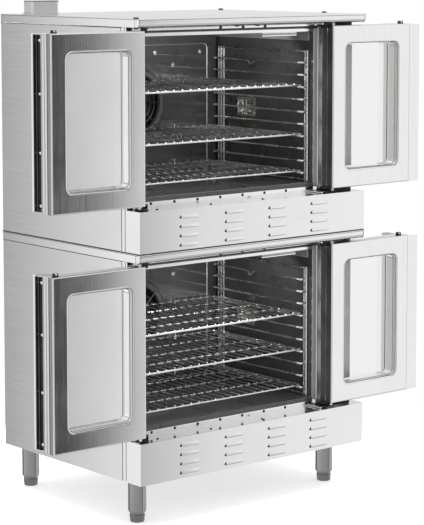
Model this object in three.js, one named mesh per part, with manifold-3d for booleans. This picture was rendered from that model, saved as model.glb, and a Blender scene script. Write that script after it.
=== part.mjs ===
// A double-stack convection oven: two identical decks on four round legs, doors swung fully open.
// Millimetres, +Z up. While it is drawn, X = 0 is the middle of the cabinet, Y = 0 the front of the
// louvred panels and Z = 0 the floor; the finished group is then centred on its own outer box.
import * as THREE from 'three';
import { mergeVertices } from 'three/addons/utils/BufferGeometryUtils.js';
import Module from 'manifold-3d';

const wasm = await Module();
wasm.setup();

// Cabinet
const WIDTH = 972;
const DEPTH = 764;
const DECK_HEIGHT = 740;
const LEG_HEIGHT = 148;
const SHEET = 2;
const GAP = 0.3;
const SIDE = WIDTH / 2;
const FRAME_FRONT = 66;
const SIDE_PANEL_FRONT = 92;
const COVER_HEIGHT = 28;
const COVER_UNDERSIDE = DECK_HEIGHT - COVER_HEIGHT;
const LOUVRE_PANEL_TOP = 136;

// Oven cavity, measured inside the liner, in its deck's own height
const CAVITY = { left: -430, right: 307, bottom: 172, top: 682, front: 70, back: 640 };
const CAVITY_MIDDLE = (CAVITY.left + CAVITY.right) / 2;
const CAVITY_CENTRE_Z = (CAVITY.bottom + CAVITY.top) / 2;
const JAMB_RIGHT = 325;

// Doors: each turns on pins beside its hinge edge, halfway through its thickness
const DOOR_THICKNESS = 56;
const DOOR_BOTTOM = 152;
const DOOR_TOP = 702;
const PIN_Y = DOOR_THICKNESS / 2;
const PIN_OFFSET = 12;
const PIN_RADIUS = 6;
const PIN_CLEARANCE = 0.3;
const LEFT_PIN_X = -450;
const RIGHT_PIN_X = 325;
const LEFT_DOOR_WIDTH = 359;
const RIGHT_DOOR_WIDTH = 375;
const WINDOW = { width: 250, bottom: 213, top: 643, radius: 22 };
const LEFT_HINGE_STILE = 52;
const RIGHT_HINGE_STILE = 60;
const GLASS_THICKNESS = 6;
const GLASS_SETBACK = 4;
const ASTRAGAL = { overhang: 36, lap: 12, proud: 2.5 };

// Handles: a folded full-height pull with its mouth towards the door's free edge
const HANDLE = { depth: 55, lip: 30, foot: 68, margin: 2, inset: 4, hem: 12, sheet: 2.5 };

// Racks and their guides
const RUNG_COUNT = 11;
const RUNG_PITCH = 41.6;
const TOP_RUNG_Z = 621.6;
const GUIDE = { front: 84, back: 556, wire: 6, ledge: 29, standoff: 4, rung: 4 };
const RACK = { front: 92, back: 560, halfWidth: 350, height: 8, frame: 6, wire: 4, slots: 14 };
const RACK_RUNGS = { upper: [3, 7, 10], lower: [4, 7, 10] };

// Fan, motor and burner
const BAFFLE_Y = 566;
const FAN = { radius: 145, front: 576, back: 616, hub: 26, blades: 10, inlet: 100 };
const SHAFT_RADIUS = 8;
const MOTOR = { radius: 70, front: 646, back: 756 };

// Controls
const KNOB = { x: 406, radius: 24, height: 20, stem: 4 };
const THERMOSTAT_Z = 500;
const TIMER_Z = 370;
const SWITCH = { z: 620, width: 22, height: 34 };

// Louvres in the lower front panel
const LOUVRE = { columns: 4, rows: 4, pitchX: 188, pitchZ: 30, width: 66, height: 6 };
const LOUVRE_LEFT = -317;
const LOUVRE_BOTTOM = 16;

const steel = new THREE.MeshStandardMaterial({ color: 0xc6c8ca, roughness: 0.32, metalness: 1 });
const darkSteel = new THREE.MeshStandardMaterial({ color: 0x2b2a2a, roughness: 0.45, metalness: 0.7 });
const wireChrome = new THREE.MeshStandardMaterial({ color: 0xd8d8d6, roughness: 0.2, metalness: 1 });
const black = new THREE.MeshStandardMaterial({ color: 0x151515, roughness: 0.5, metalness: 0 });
const glass = new THREE.MeshStandardMaterial({ color: 0xe9efee, roughness: 0.05, metalness: 0 });
const castIron = new THREE.MeshStandardMaterial({ color: 0x3a3836, roughness: 0.8, metalness: 0.4 });

// Booleans
function toSolid(geometry) {
  const bare = geometry.clone();
  bare.deleteAttribute('normal');
  bare.deleteAttribute('uv');
  const merged = mergeVertices(bare, 1e-4);
  const vertProperties = new Float32Array(merged.attributes.position.array);
  const triVerts = new Uint32Array(merged.index.array);
  return new wasm.Manifold(new wasm.Mesh({ numProp: 3, vertProperties, triVerts }));
}

function toGeometry(solid) {
  const mesh = solid.getMesh();
  const geometry = new THREE.BufferGeometry();
  geometry.setAttribute('position', new THREE.BufferAttribute(mesh.vertProperties, 3));
  geometry.setIndex(new THREE.BufferAttribute(mesh.triVerts, 1));
  return geometry;
}

function join(...geometries) {
  return toGeometry(geometries.map(toSolid).reduce((whole, piece) => whole.add(piece)));
}

function cut(geometry, ...tools) {
  return toGeometry(tools.map(toSolid).reduce((whole, tool) => whole.subtract(tool), toSolid(geometry)));
}

// Shapes
function box(x0, x1, y0, y1, z0, z1) {
  const geometry = new THREE.BoxGeometry(x1 - x0, y1 - y0, z1 - z0);
  return geometry.translate((x0 + x1) / 2, (y0 + y1) / 2, (z0 + z1) / 2);
}

function outline(points) {
  return new THREE.Shape(points.map(([x, y]) => new THREE.Vector2(x, y)));
}

function prismZ(shape, z0, z1) {
  const geometry = new THREE.ExtrudeGeometry(shape, { depth: z1 - z0, bevelEnabled: false });
  return geometry.translate(0, 0, z0);
}

// A shape drawn in Y and Z, extruded along X
function prismX(shape, x0, x1, curveSegments = 8) {
  const settings = { depth: x1 - x0, bevelEnabled: false, curveSegments };
  const geometry = new THREE.ExtrudeGeometry(shape, settings);
  const axes = new THREE.Matrix4().makeBasis(
    new THREE.Vector3(0, 1, 0),
    new THREE.Vector3(0, 0, 1),
    new THREE.Vector3(1, 0, 0),
  );
  return geometry.applyMatrix4(axes).translate(x0, 0, 0);
}

// A shape drawn in X and Z, extruded along Y from y0 to y1
function prismY(shape, y0, y1, curveSegments = 5) {
  const settings = { depth: y1 - y0, bevelEnabled: false, curveSegments };
  const geometry = new THREE.ExtrudeGeometry(shape, settings);
  return geometry.rotateX(Math.PI / 2).translate(0, y1, 0);
}

function roundedRectangle(x0, x1, z0, z1, radius) {
  const shape = new THREE.Shape();
  shape.moveTo(x0 + radius, z0);
  shape.lineTo(x1 - radius, z0);
  shape.absarc(x1 - radius, z0 + radius, radius, -Math.PI / 2, 0);
  shape.lineTo(x1, z1 - radius);
  shape.absarc(x1 - radius, z1 - radius, radius, 0, Math.PI / 2);
  shape.lineTo(x0 + radius, z1);
  shape.absarc(x0 + radius, z1 - radius, radius, Math.PI / 2, Math.PI);
  shape.lineTo(x0, z0 + radius);
  shape.absarc(x0 + radius, z0 + radius, radius, Math.PI, Math.PI * 1.5);
  return shape;
}

function cylinderY(radius, x, z, y0, y1, sides = 24) {
  const geometry = new THREE.CylinderGeometry(radius, radius, y1 - y0, sides);
  return geometry.translate(x, (y0 + y1) / 2, z);
}

function cylinderZ(radius, x, y, z0, z1, sides = 24) {
  const geometry = new THREE.CylinderGeometry(radius, radius, z1 - z0, sides);
  return geometry.rotateX(Math.PI / 2).translate(x, y, (z0 + z1) / 2);
}

function mirrorX(geometry, x) {
  const mirrored = geometry.clone().translate(-x, 0, 0).scale(-1, 1, 1).translate(x, 0, 0);
  const index = mirrored.index.array;
  for (let i = 0; i < index.length; i += 3) {
    [index[i], index[i + 1]] = [index[i + 1], index[i]];
  }
  return mirrored;
}

// Cabinet pieces, drawn in the deck's own height
function leftSidePanel() {
  const x0 = -SIDE;
  const sheet = box(x0, x0 + SHEET, SIDE_PANEL_FRONT, DEPTH - SHEET - GAP, GAP, COVER_UNDERSIDE - GAP);
  const frontReturn = box(
    x0, x0 + 18, SIDE_PANEL_FRONT, SIDE_PANEL_FRONT + SHEET, GAP, COVER_UNDERSIDE - GAP);
  return join(sheet, frontReturn);
}

function bodyPan() {
  const inside = SIDE - SHEET - GAP;
  const base = box(-inside, inside, SIDE_PANEL_FRONT + SHEET + GAP, DEPTH, GAP, GAP + SHEET);
  const back = box(-inside, inside, DEPTH - SHEET, DEPTH, GAP, COVER_UNDERSIDE - GAP);
  return join(base, back);
}

// The cover's rounded nose: a half-round of the cover's own height
function noseOutline(inset) {
  const radius = COVER_HEIGHT / 2 - inset;
  const centreZ = COVER_UNDERSIDE + COVER_HEIGHT / 2;
  const back = FRAME_FRONT + 30;
  const shape = new THREE.Shape();
  shape.moveTo(back, centreZ - radius);
  shape.lineTo(back, centreZ + radius);
  shape.lineTo(COVER_HEIGHT / 2, centreZ + radius);
  shape.absarc(COVER_HEIGHT / 2, centreZ, radius, Math.PI / 2, Math.PI * 1.5);
  return shape;
}

function topCover() {
  const half = COVER_HEIGHT / 2;
  const nose = prismX(noseOutline(0), -SIDE, SIDE);
  const hollow = prismX(noseOutline(SHEET), -SIDE + SHEET, SIDE - SHEET);
  const openBack = box(
    -SIDE + SHEET, SIDE - SHEET, FRAME_FRONT + 20, FRAME_FRONT + 31,
    COVER_UNDERSIDE - 1, DECK_HEIGHT - SHEET);
  const sheet = box(-SIDE, SIDE, half, DEPTH, DECK_HEIGHT - SHEET, DECK_HEIGHT);
  const skirtBottom = COVER_UNDERSIDE;
  const left = box(-SIDE, -SIDE + SHEET, half, DEPTH, skirtBottom, DECK_HEIGHT);
  const right = box(SIDE - SHEET, SIDE, half, DEPTH, skirtBottom, DECK_HEIGHT);
  const back = box(-SIDE, SIDE, DEPTH - SHEET, DEPTH, skirtBottom, DECK_HEIGHT);
  return join(cut(nose, hollow, openBack), sheet, left, right, back);
}

function louveredPanel() {
  const top = LOUVRE_PANEL_TOP;
  const back = SIDE_PANEL_FRONT - GAP;
  const outer = box(-SIDE, SIDE, 0, back, GAP, top);
  const hollow = box(-SIDE + SHEET, SIDE - SHEET, SHEET, back + 1, GAP + SHEET, top - SHEET);
  const slots = [];
  for (let column = 0; column < LOUVRE.columns; column += 1) {
    for (let row = 0; row < LOUVRE.rows; row += 1) {
      const x = LOUVRE_LEFT + column * LOUVRE.pitchX;
      const z = LOUVRE_BOTTOM + row * LOUVRE.pitchZ;
      slots.push(box(x, x + LOUVRE.width, -1, SHEET + 1, z, z + LOUVRE.height));
    }
  }
  return cut(outer, hollow, ...slots);
}

// One hinge bracket: an arm from the frame, a plate over the pin's place, and the pin
const BRACKET = { half: 9, thickness: 4, pinDepth: 4 };

function hingeBracket(armX, pinX, plateBottom, pinEnd) {
  const b = BRACKET;
  const plateTop = plateBottom + b.thickness;
  const arm = box(armX - b.half, armX + b.half, PIN_Y - b.half, FRAME_FRONT + 1, plateBottom, plateTop);
  const plate = box(armX - b.half, pinX + b.half, PIN_Y - b.half, PIN_Y + b.half, plateBottom, plateTop);
  const middle = plateBottom + b.thickness / 2;
  const pin = cylinderZ(PIN_RADIUS, pinX, PIN_Y, Math.min(middle, pinEnd), Math.max(middle, pinEnd), 16);
  return [arm, plate, pin];
}

// Front frame round the opening, with its four hinge brackets
function frontFrame() {
  const bottom = LOUVRE_PANEL_TOP + GAP;
  const top = COVER_UNDERSIDE - GAP;
  const front = FRAME_FRONT;
  const plate = box(-SIDE, JAMB_RIGHT, front, front + SHEET, bottom, top);
  const opening = box(
    CAVITY.left, CAVITY.right, front - 1, front + SHEET + 1, CAVITY.bottom, CAVITY.top);
  const leftReturn = box(-SIDE, -SIDE + SHEET, front + 1, SIDE_PANEL_FRONT - GAP, bottom, top);
  const rightReturn = box(JAMB_RIGHT - SHEET, JAMB_RIGHT, front + 1, front + 60, bottom, top);
  const rightArmX = JAMB_RIGHT - BRACKET.half - SHEET;
  const brackets = [[LEFT_PIN_X, LEFT_PIN_X], [rightArmX, RIGHT_PIN_X]].flatMap(([armX, pinX]) => [
    ...hingeBracket(armX, pinX, bottom + 1, DOOR_BOTTOM + BRACKET.pinDepth),
    ...hingeBracket(armX, pinX, top - 1 - BRACKET.thickness, DOOR_TOP - BRACKET.pinDepth),
  ]);
  return cut(join(plate, leftReturn, rightReturn, ...brackets), opening);
}

// Recessed control panel: a tray with its rim facing forward
function controlPanel() {
  const left = JAMB_RIGHT + GAP;
  const bottom = LOUVRE_PANEL_TOP + GAP;
  const top = COVER_UNDERSIDE - GAP;
  const tray = box(left, SIDE, FRAME_FRONT, SIDE_PANEL_FRONT - GAP, bottom, top);
  const recess = box(
    left + SHEET, SIDE - SHEET, FRAME_FRONT - 1, SIDE_PANEL_FRONT - GAP - SHEET,
    bottom + SHEET, top - SHEET);
  const stemHoles = [THERMOSTAT_Z, TIMER_Z].map((z) => cylinderY(KNOB.stem + 0.5, KNOB.x, z, 80, 100, 16));
  const switchHole = box(
    KNOB.x - SWITCH.width / 2, KNOB.x + SWITCH.width / 2, 80, 100,
    SWITCH.z - SWITCH.height / 2, SWITCH.z + SWITCH.height / 2);
  return cut(tray, recess, ...stemHoles, switchHole);
}

// Cavity pieces
const LAMP = { y0: 362, y1: 457, z0: 375, z1: 442, flange: 3, reach: 24, border: 8 };

function cavityLiner() {
  const c = CAVITY;
  const outer = box(
    c.left - SHEET, c.right + SHEET, c.front, c.back + SHEET, c.bottom - SHEET, c.top + SHEET);
  const inner = box(c.left, c.right, c.front - 1, c.back, c.bottom, c.top);
  const b = LAMP.border - 0.5;
  const lampHole = box(
    c.right - 1, c.right + SHEET + 1, LAMP.y0 + b, LAMP.y1 - b, LAMP.z0 + b, LAMP.z1 - b);
  const shaftHole = cylinderY(
    SHAFT_RADIUS + 4, CAVITY_MIDDLE, CAVITY_CENTRE_Z, c.back - 1, c.back + SHEET + 1, 16);
  return cut(outer, inner, lampHole, shaftHole);
}

function lamp() {
  const x = CAVITY.right - GAP;
  const flange = box(x - LAMP.flange, x, LAMP.y0, LAMP.y1, LAMP.z0, LAMP.z1);
  const b = LAMP.border;
  const housing = box(x - 1, x + LAMP.reach, LAMP.y0 + b, LAMP.y1 - b, LAMP.z0 + b, LAMP.z1 - b);
  return join(flange, housing);
}

function fanBaffle() {
  const clear = 8;
  const plate = box(
    CAVITY.left + clear, CAVITY.right - clear, BAFFLE_Y, BAFFLE_Y + SHEET,
    CAVITY.bottom + clear, CAVITY.top - clear);
  const inlet = cylinderY(FAN.inlet, CAVITY_MIDDLE, CAVITY_CENTRE_Z, BAFFLE_Y - 1, BAFFLE_Y + 3, 32);
  return cut(plate, inlet);
}

function fanWheel() {
  const backPlate = cylinderY(FAN.radius, 0, 0, FAN.back - 2, FAN.back, 32);
  const hub = cylinderY(FAN.hub, 0, 0, FAN.front, FAN.back, 16);
  const shaft = cylinderY(SHAFT_RADIUS, 0, 0, FAN.back - 2, MOTOR.back - 20, 12);
  const blades = Array.from({ length: FAN.blades }, (_, i) => {
    const blade = box(70, FAN.radius - 4, FAN.front + 2, FAN.back - 1, -1.25, 1.25);
    return blade.rotateY((i / FAN.blades) * Math.PI * 2);
  });
  return join(backPlate, hub, shaft, ...blades).translate(CAVITY_MIDDLE, 0, CAVITY_CENTRE_Z);
}

function fanMotor() {
  const body = cylinderY(MOTOR.radius, 0, 0, MOTOR.front, MOTOR.back, 24);
  const bore = cylinderY(SHAFT_RADIUS + 0.5, 0, 0, MOTOR.front - 1, MOTOR.back - 15, 12);
  return cut(body, bore).translate(CAVITY_MIDDLE, 0, CAVITY_CENTRE_Z);
}

function burner() {
  const tube = cylinderY(20, CAVITY_MIDDLE, 60, 180, 600, 12);
  const head = box(CAVITY_MIDDLE - 45, CAVITY_MIDDLE + 45, 150, 200, 35, 90);
  return join(tube, head);
}

// Right rack guide: two uprights and a ladder of ledges; the left one is its mirror image
function rackGuide() {
  const g = GUIDE;
  const outer = CAVITY.right - g.standoff;
  const uprightX = [outer - g.wire, outer];
  const uprights = [g.front, g.back - g.wire].map((y) => box(
    ...uprightX, y, y + g.wire, TOP_RUNG_Z - RUNG_COUNT * RUNG_PITCH + 10, TOP_RUNG_Z + 30));
  const rungs = Array.from({ length: RUNG_COUNT }, (_, i) => {
    const z = TOP_RUNG_Z - i * RUNG_PITCH;
    return box(outer - g.ledge, outer - 1, g.front + 1, g.back - 1, z - g.rung, z);
  });
  return join(...uprights, ...rungs);
}

function rack() {
  const r = RACK;
  const grille = box(-r.halfWidth, r.halfWidth, r.front, r.back, 0, r.height);
  const clearWidth = 2 * (r.halfWidth - r.frame);
  const pitch = (clearWidth + r.wire) / r.slots;
  const slots = Array.from({ length: r.slots }, (_, i) => {
    const x = -r.halfWidth + r.frame + i * pitch;
    return box(x, x + pitch - r.wire, r.front + r.frame, r.back - r.frame, -1, r.height + 1);
  });
  return cut(grille, ...slots);
}

// Controls
function knob(z) {
  const face = SIDE_PANEL_FRONT - GAP - SHEET - 1;
  const body = cylinderY(KNOB.radius, KNOB.x, z, face - KNOB.height, face, 24);
  const stem = cylinderY(KNOB.stem, KNOB.x, z, face - 2, face + 12, 12);
  const pointer = box(
    KNOB.x - 3, KNOB.x + 3, face - KNOB.height - 2, face - KNOB.height + 1, z, z + KNOB.radius - 2);
  return join(body, stem, pointer);
}

function powerSwitch() {
  const halfWidth = SWITCH.width / 2 - 1;
  const halfHeight = SWITCH.height / 2 - 3;
  const face = SIDE_PANEL_FRONT - GAP - SHEET;
  const rocker = outline([
    [face - 5, SWITCH.z + halfHeight],
    [face - 2, SWITCH.z],
    [face - 1, SWITCH.z - halfHeight],
    [face + 10, SWITCH.z - halfHeight + 4],
    [face + 10, SWITCH.z + halfHeight - 4],
  ]);
  return prismX(rocker, KNOB.x - halfWidth, KNOB.x + halfWidth);
}

// Doors, drawn open: u is the distance from the hinge edge towards the free edge
function door(edge, direction, width, hingeStile, astragal) {
  const x = (u) => edge + direction * u;
  const across = (u0, u1, ...rest) => box(Math.min(x(u0), x(u1)), Math.max(x(u0), x(u1)), ...rest);
  const leaf = across(0, width, 0, DOOR_THICKNESS, DOOR_BOTTOM, DOOR_TOP);
  const windowX = [x(hingeStile), x(hingeStile + WINDOW.width)].sort((a, b) => a - b);
  const opening = prismY(
    roundedRectangle(...windowX, WINDOW.bottom, WINDOW.top, WINDOW.radius), -1, DOOR_THICKNESS + 1);
  const pinX = x(-PIN_OFFSET);
  const ears = [[DOOR_BOTTOM - 9, DOOR_BOTTOM + 8], [DOOR_TOP - 8, DOOR_TOP + 3]].map(
    ([z0, z1]) => across(-PIN_OFFSET - 10, 12, PIN_Y - 10, PIN_Y + 10, z0, z1));
  const pinHoles = [[DOOR_BOTTOM - 10, DOOR_BOTTOM + 6], [DOOR_TOP - 6, DOOR_TOP + 4]].map(
    ([z0, z1]) => cylinderZ(PIN_RADIUS + PIN_CLEARANCE, pinX, PIN_Y, z0, z1, 16));
  const strips = astragal
    ? [
      across(width - ASTRAGAL.lap, width, -ASTRAGAL.proud, 0.5, DOOR_BOTTOM, DOOR_TOP),
      across(width - 1, width + ASTRAGAL.overhang, -ASTRAGAL.proud, -GAP, DOOR_BOTTOM, DOOR_TOP),
    ]
    : [];
  return cut(join(leaf, ...ears, ...strips), opening, ...pinHoles);
}

function doorGlass(edge, direction, hingeStile) {
  const ends = [edge + direction * hingeStile, edge + direction * (hingeStile + WINDOW.width)];
  const [x0, x1] = ends.sort((a, b) => a - b);
  const shape = roundedRectangle(
    x0 + GAP, x1 - GAP, WINDOW.bottom + GAP, WINDOW.top - GAP, WINDOW.radius - GAP);
  const back = DOOR_THICKNESS - GLASS_SETBACK;
  return prismY(shape, back - GLASS_THICKNESS, back);
}

// The pull's section, from the hem round the slanted web to the foot on the door
function doorHandle(edge, direction, width) {
  const h = HANDLE;
  const base = DOOR_THICKNESS + GAP;
  const tip = base + h.depth;
  const x = (s) => edge + direction * (width - s);
  const section = [
    [h.inset, tip - h.hem],
    [h.inset, tip],
    [h.lip, tip],
    [h.foot, base],
    [h.inset + 14, base],
    [h.inset + 14, base + h.sheet],
    [h.foot - 5, base + h.sheet],
    [h.lip - 1, tip - h.sheet],
    [h.inset + h.sheet, tip - h.sheet],
    [h.inset + h.sheet, tip - h.hem],
  ];
  const cap = [[h.inset, tip], [h.lip, tip], [h.foot, base], [h.inset + 14, base], [h.inset, base + 20]];
  const toShape = (points) => outline(points.map(([s, y]) => [x(s), y]));
  const z0 = DOOR_BOTTOM + h.margin;
  const z1 = DOOR_TOP - h.margin;
  return join(
    prismZ(toShape(section), z0, z1),
    prismZ(toShape(cap), z0, z0 + h.sheet),
    prismZ(toShape(cap), z1 - h.sheet, z1),
  );
}

// Legs and flue
const LEG = { radius: 30, footRadius: 23, collar: 30, insetX: 74, front: 115, back: 717 };

function leg() {
  const top = LEG_HEIGHT - GAP;
  const profile = [
    [0, 0], [LEG.footRadius, 0], [LEG.footRadius + 3, 3], [LEG.radius, LEG.collar],
    [LEG.radius, top], [0, top],
  ];
  const points = profile.map(([r, z]) => new THREE.Vector2(r, z));
  return new THREE.LatheGeometry(points, 24).rotateX(Math.PI / 2);
}

const FLUE = { x0: -396, x1: -287, y0: 703, y1: 760, height: 45, wall: 3 };

function flue() {
  const f = FLUE;
  const outer = box(f.x0, f.x1, f.y0, f.y1, GAP, f.height);
  const inner = box(f.x0 + f.wall, f.x1 - f.wall, f.y0 + f.wall, f.y1 - f.wall, -1, f.height + 1);
  return cut(outer, inner);
}

// Assembly
const oven = new THREE.Group();

function place(name, geometry, material, z = 0, parent = oven) {
  const mesh = new THREE.Mesh(geometry, material);
  mesh.name = name;
  mesh.position.z = z;
  parent.add(mesh);
}

function addDeck(deck, baseZ) {
  const group = new THREE.Group();
  group.position.z = baseZ;
  oven.add(group);
  const add = (name, geometry, material, z = 0) => place(`${deck}_${name}`, geometry, material, z, group);

  const sidePanel = leftSidePanel();
  add('left_side_panel', sidePanel, steel);
  add('right_side_panel', mirrorX(sidePanel, 0), steel);
  add('body_pan', bodyPan(), steel);
  add('top_cover', topCover(), steel);
  add('louvered_panel', louveredPanel(), steel);
  add('front_frame', frontFrame(), steel);
  add('control_panel', controlPanel(), steel);
  add('thermostat_knob', knob(THERMOSTAT_Z), black);
  add('timer_knob', knob(TIMER_Z), black);
  add('power_switch', powerSwitch(), black);

  add('cavity_liner', cavityLiner(), darkSteel);
  add('lamp', lamp(), glass);
  add('fan_baffle', fanBaffle(), darkSteel);
  add('fan_wheel', fanWheel(), steel);
  add('fan_motor', fanMotor(), castIron);
  add('burner', burner(), castIron);

  const guide = rackGuide();
  add('right_rack_guide', guide, wireChrome);
  add('left_rack_guide', mirrorX(guide, CAVITY_MIDDLE), wireChrome);
  RACK_RUNGS[deck].forEach((rung, i) => {
    const z = TOP_RUNG_Z - rung * RUNG_PITCH + GAP;
    add(`${['top', 'middle', 'bottom'][i]}_rack`, rack().translate(CAVITY_MIDDLE, 0, 0), wireChrome, z);
  });

  const leftEdge = LEFT_PIN_X - PIN_OFFSET;
  const rightEdge = RIGHT_PIN_X + PIN_OFFSET;
  add('left_door', door(leftEdge, -1, LEFT_DOOR_WIDTH, LEFT_HINGE_STILE, false), steel);
  add('left_door_glass', doorGlass(leftEdge, -1, LEFT_HINGE_STILE), glass);
  add('left_door_handle', doorHandle(leftEdge, -1, LEFT_DOOR_WIDTH), steel);
  add('right_door', door(rightEdge, 1, RIGHT_DOOR_WIDTH, RIGHT_HINGE_STILE, true), steel);
  add('right_door_glass', doorGlass(rightEdge, 1, RIGHT_HINGE_STILE), glass);
  add('right_door_handle', doorHandle(rightEdge, 1, RIGHT_DOOR_WIDTH), steel);
}

addDeck('lower', LEG_HEIGHT);
addDeck('upper', LEG_HEIGHT + DECK_HEIGHT);

for (const [side, x] of [['left', -SIDE + LEG.insetX], ['right', SIDE - LEG.insetX]]) {
  for (const [end, y] of [['front', LEG.front], ['rear', LEG.back]]) {
    place(`${end}_${side}_leg`, leg().translate(x, y, 0), steel);
  }
}
place('flue', flue(), steel, LEG_HEIGHT + 2 * DECK_HEIGHT);

// The origin is the middle of the outer box's bottom face
oven.updateMatrixWorld(true);
const bounds = new THREE.Box3().setFromObject(oven, true);
const middle = bounds.getCenter(new THREE.Vector3());
oven.position.set(-middle.x, -middle.y, -bounds.min.z);

export default oven;
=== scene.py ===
"""A double-stack convection oven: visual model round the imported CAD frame.

Shapes are worked out in millimetres, and make_piece turns them into metres. Lights, camera,
floor and materials are in metres. Seen from in front, x runs to the right, y to the back
and z up.
"""
import math
from types import SimpleNamespace

import bmesh
import bpy
from mathutils import Matrix, Vector


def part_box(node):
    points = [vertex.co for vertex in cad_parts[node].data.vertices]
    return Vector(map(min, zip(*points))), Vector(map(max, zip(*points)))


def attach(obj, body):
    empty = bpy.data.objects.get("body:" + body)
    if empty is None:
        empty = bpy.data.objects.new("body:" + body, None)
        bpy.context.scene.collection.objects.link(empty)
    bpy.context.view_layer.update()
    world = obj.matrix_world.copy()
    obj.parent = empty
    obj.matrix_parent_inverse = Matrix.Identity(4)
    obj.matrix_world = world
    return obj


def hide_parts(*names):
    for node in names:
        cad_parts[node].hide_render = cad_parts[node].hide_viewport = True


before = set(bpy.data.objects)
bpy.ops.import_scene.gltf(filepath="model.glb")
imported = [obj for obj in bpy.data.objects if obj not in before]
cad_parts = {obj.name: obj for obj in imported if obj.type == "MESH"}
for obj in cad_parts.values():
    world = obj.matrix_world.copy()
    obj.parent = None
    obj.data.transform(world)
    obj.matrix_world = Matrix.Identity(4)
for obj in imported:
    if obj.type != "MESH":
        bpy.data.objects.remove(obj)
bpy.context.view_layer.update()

MM = 0.001
DECKS = ("lower", "upper")
SIDES = ("left", "right")
X, Y, Z = Vector((1, 0, 0)), Vector((0, 1, 0)), Vector((0, 0, 1))


# ---------------------------------------------------------------- materials
SCRATCH_FINE = 900.0
SCRATCH_LONG = 6.0
MOTTLE_FINE = 480.0
MOTTLE_BROAD = 10.0


def new_material(name):
    """A fresh material, with its nodes, its links and its shader."""
    material = bpy.data.materials.new(name)
    material.use_nodes = True
    nodes = material.node_tree.nodes
    return material, nodes, material.node_tree.links, nodes["Principled BSDF"]


def add_noise(nodes, links, scale_xyz, detail):
    """Noise over object coordinates, stretched by scale_xyz."""
    coordinates = nodes.new("ShaderNodeTexCoord")
    mapping = nodes.new("ShaderNodeMapping")
    mapping.inputs["Scale"].default_value = scale_xyz
    noise = nodes.new("ShaderNodeTexNoise")
    noise.inputs["Scale"].default_value = 1.0
    noise.inputs["Detail"].default_value = detail
    noise.inputs["Roughness"].default_value = 0.6
    links.new(coordinates.outputs["Object"], mapping.inputs["Vector"])
    links.new(mapping.outputs["Vector"], noise.inputs["Vector"])
    return noise.outputs["Fac"]


def add_range(nodes, links, value, low, high, source=(0.3, 0.7)):
    """value, from source's first to its second number, becomes low to high."""
    spread = nodes.new("ShaderNodeMapRange")
    spread.inputs["From Min"].default_value = source[0]
    spread.inputs["From Max"].default_value = source[1]
    spread.inputs["To Min"].default_value = low
    spread.inputs["To Max"].default_value = high
    links.new(value, spread.inputs["Value"])
    return spread.outputs["Result"]


def add_mix(nodes, links, factor, first, second):
    """Mixes two colours; each is a plain colour or another node's output."""
    mix = nodes.new("ShaderNodeMix")
    mix.data_type = "RGBA"
    links.new(factor, mix.inputs["Factor"])
    for name, colour in (("A", first), ("B", second)):
        if isinstance(colour, tuple):
            mix.inputs[name].default_value = (*colour, 1)
        else:
            links.new(colour, mix.inputs[name])
    return mix.outputs["Result"]


def add_math(nodes, links, operation, first, second):
    """One sum on two values; each is a number or another node's output."""
    node = nodes.new("ShaderNodeMath")
    node.operation = operation
    for socket, value in zip(node.inputs, (first, second)):
        if isinstance(value, float):
            socket.default_value = value
        else:
            links.new(value, socket)
    return node.outputs["Value"]


def add_bump(nodes, links, shader, height, strength, distance):
    """Makes height show as fine relief."""
    bump = nodes.new("ShaderNodeBump")
    bump.inputs["Strength"].default_value = strength
    bump.inputs["Distance"].default_value = distance
    links.new(height, bump.inputs["Height"])
    links.new(bump.outputs["Normal"], shader.inputs["Normal"])


def brushed_steel(name, grain, tone, rough):
    """Stainless sheet: long fine scratches along one axis, over broad rubbed patches."""
    material, nodes, links, shader = new_material(name)
    scratch_scale = [SCRATCH_FINE] * 3
    scratch_scale["XYZ".index(grain)] = SCRATCH_LONG
    scratches = add_noise(nodes, links, scratch_scale, 3.0)
    patches = add_noise(nodes, links, (4.0, 4.0, 4.0), 3.0)
    dark = tuple(0.90 * c for c in tone)
    colour = add_mix(nodes, links, add_range(nodes, links, scratches, 0.0, 1.0), dark, tone)
    links.new(colour, shader.inputs["Base Color"])
    fine = add_range(nodes, links, scratches, -0.03, 0.03)
    broad = add_range(nodes, links, patches, rough - 0.02, rough + 0.02)
    links.new(add_math(nodes, links, "ADD", fine, broad), shader.inputs["Roughness"])
    add_bump(nodes, links, shader, scratches, 0.06, 0.0002)
    shader.inputs["Metallic"].default_value = 1.0
    return material


def speckled(name, dark, light, rough, metallic=0.0, bump=0.1, coat=0.0):
    """A coloured surface with fine mottling in colour, gloss and height."""
    material, nodes, links, shader = new_material(name)
    fine = add_noise(nodes, links, (MOTTLE_FINE,) * 3, 2.0)
    broad = add_noise(nodes, links, (MOTTLE_BROAD,) * 3, 4.0)
    colour = add_mix(nodes, links, add_range(nodes, links, broad, 0.0, 1.0), dark, light)
    links.new(colour, shader.inputs["Base Color"])
    gloss = add_range(nodes, links, broad, rough - 0.05, rough + 0.07)
    links.new(gloss, shader.inputs["Roughness"])
    add_bump(nodes, links, shader, fine, bump, 0.0003)
    shader.inputs["Metallic"].default_value = metallic
    shader.inputs["Coat Weight"].default_value = coat
    return material


def clear_glass(name, tint, rough):
    """Glass with faint smears in its gloss."""
    material, nodes, links, shader = new_material(name)
    smears = add_noise(nodes, links, (9.0, 9.0, 9.0), 4.0)
    links.new(add_range(nodes, links, smears, rough, rough + 0.05), shader.inputs["Roughness"])
    shader.inputs["Base Color"].default_value = (*tint, 1)
    shader.inputs["Transmission Weight"].default_value = 1.0
    shader.inputs["IOR"].default_value = 1.45
    return material


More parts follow.
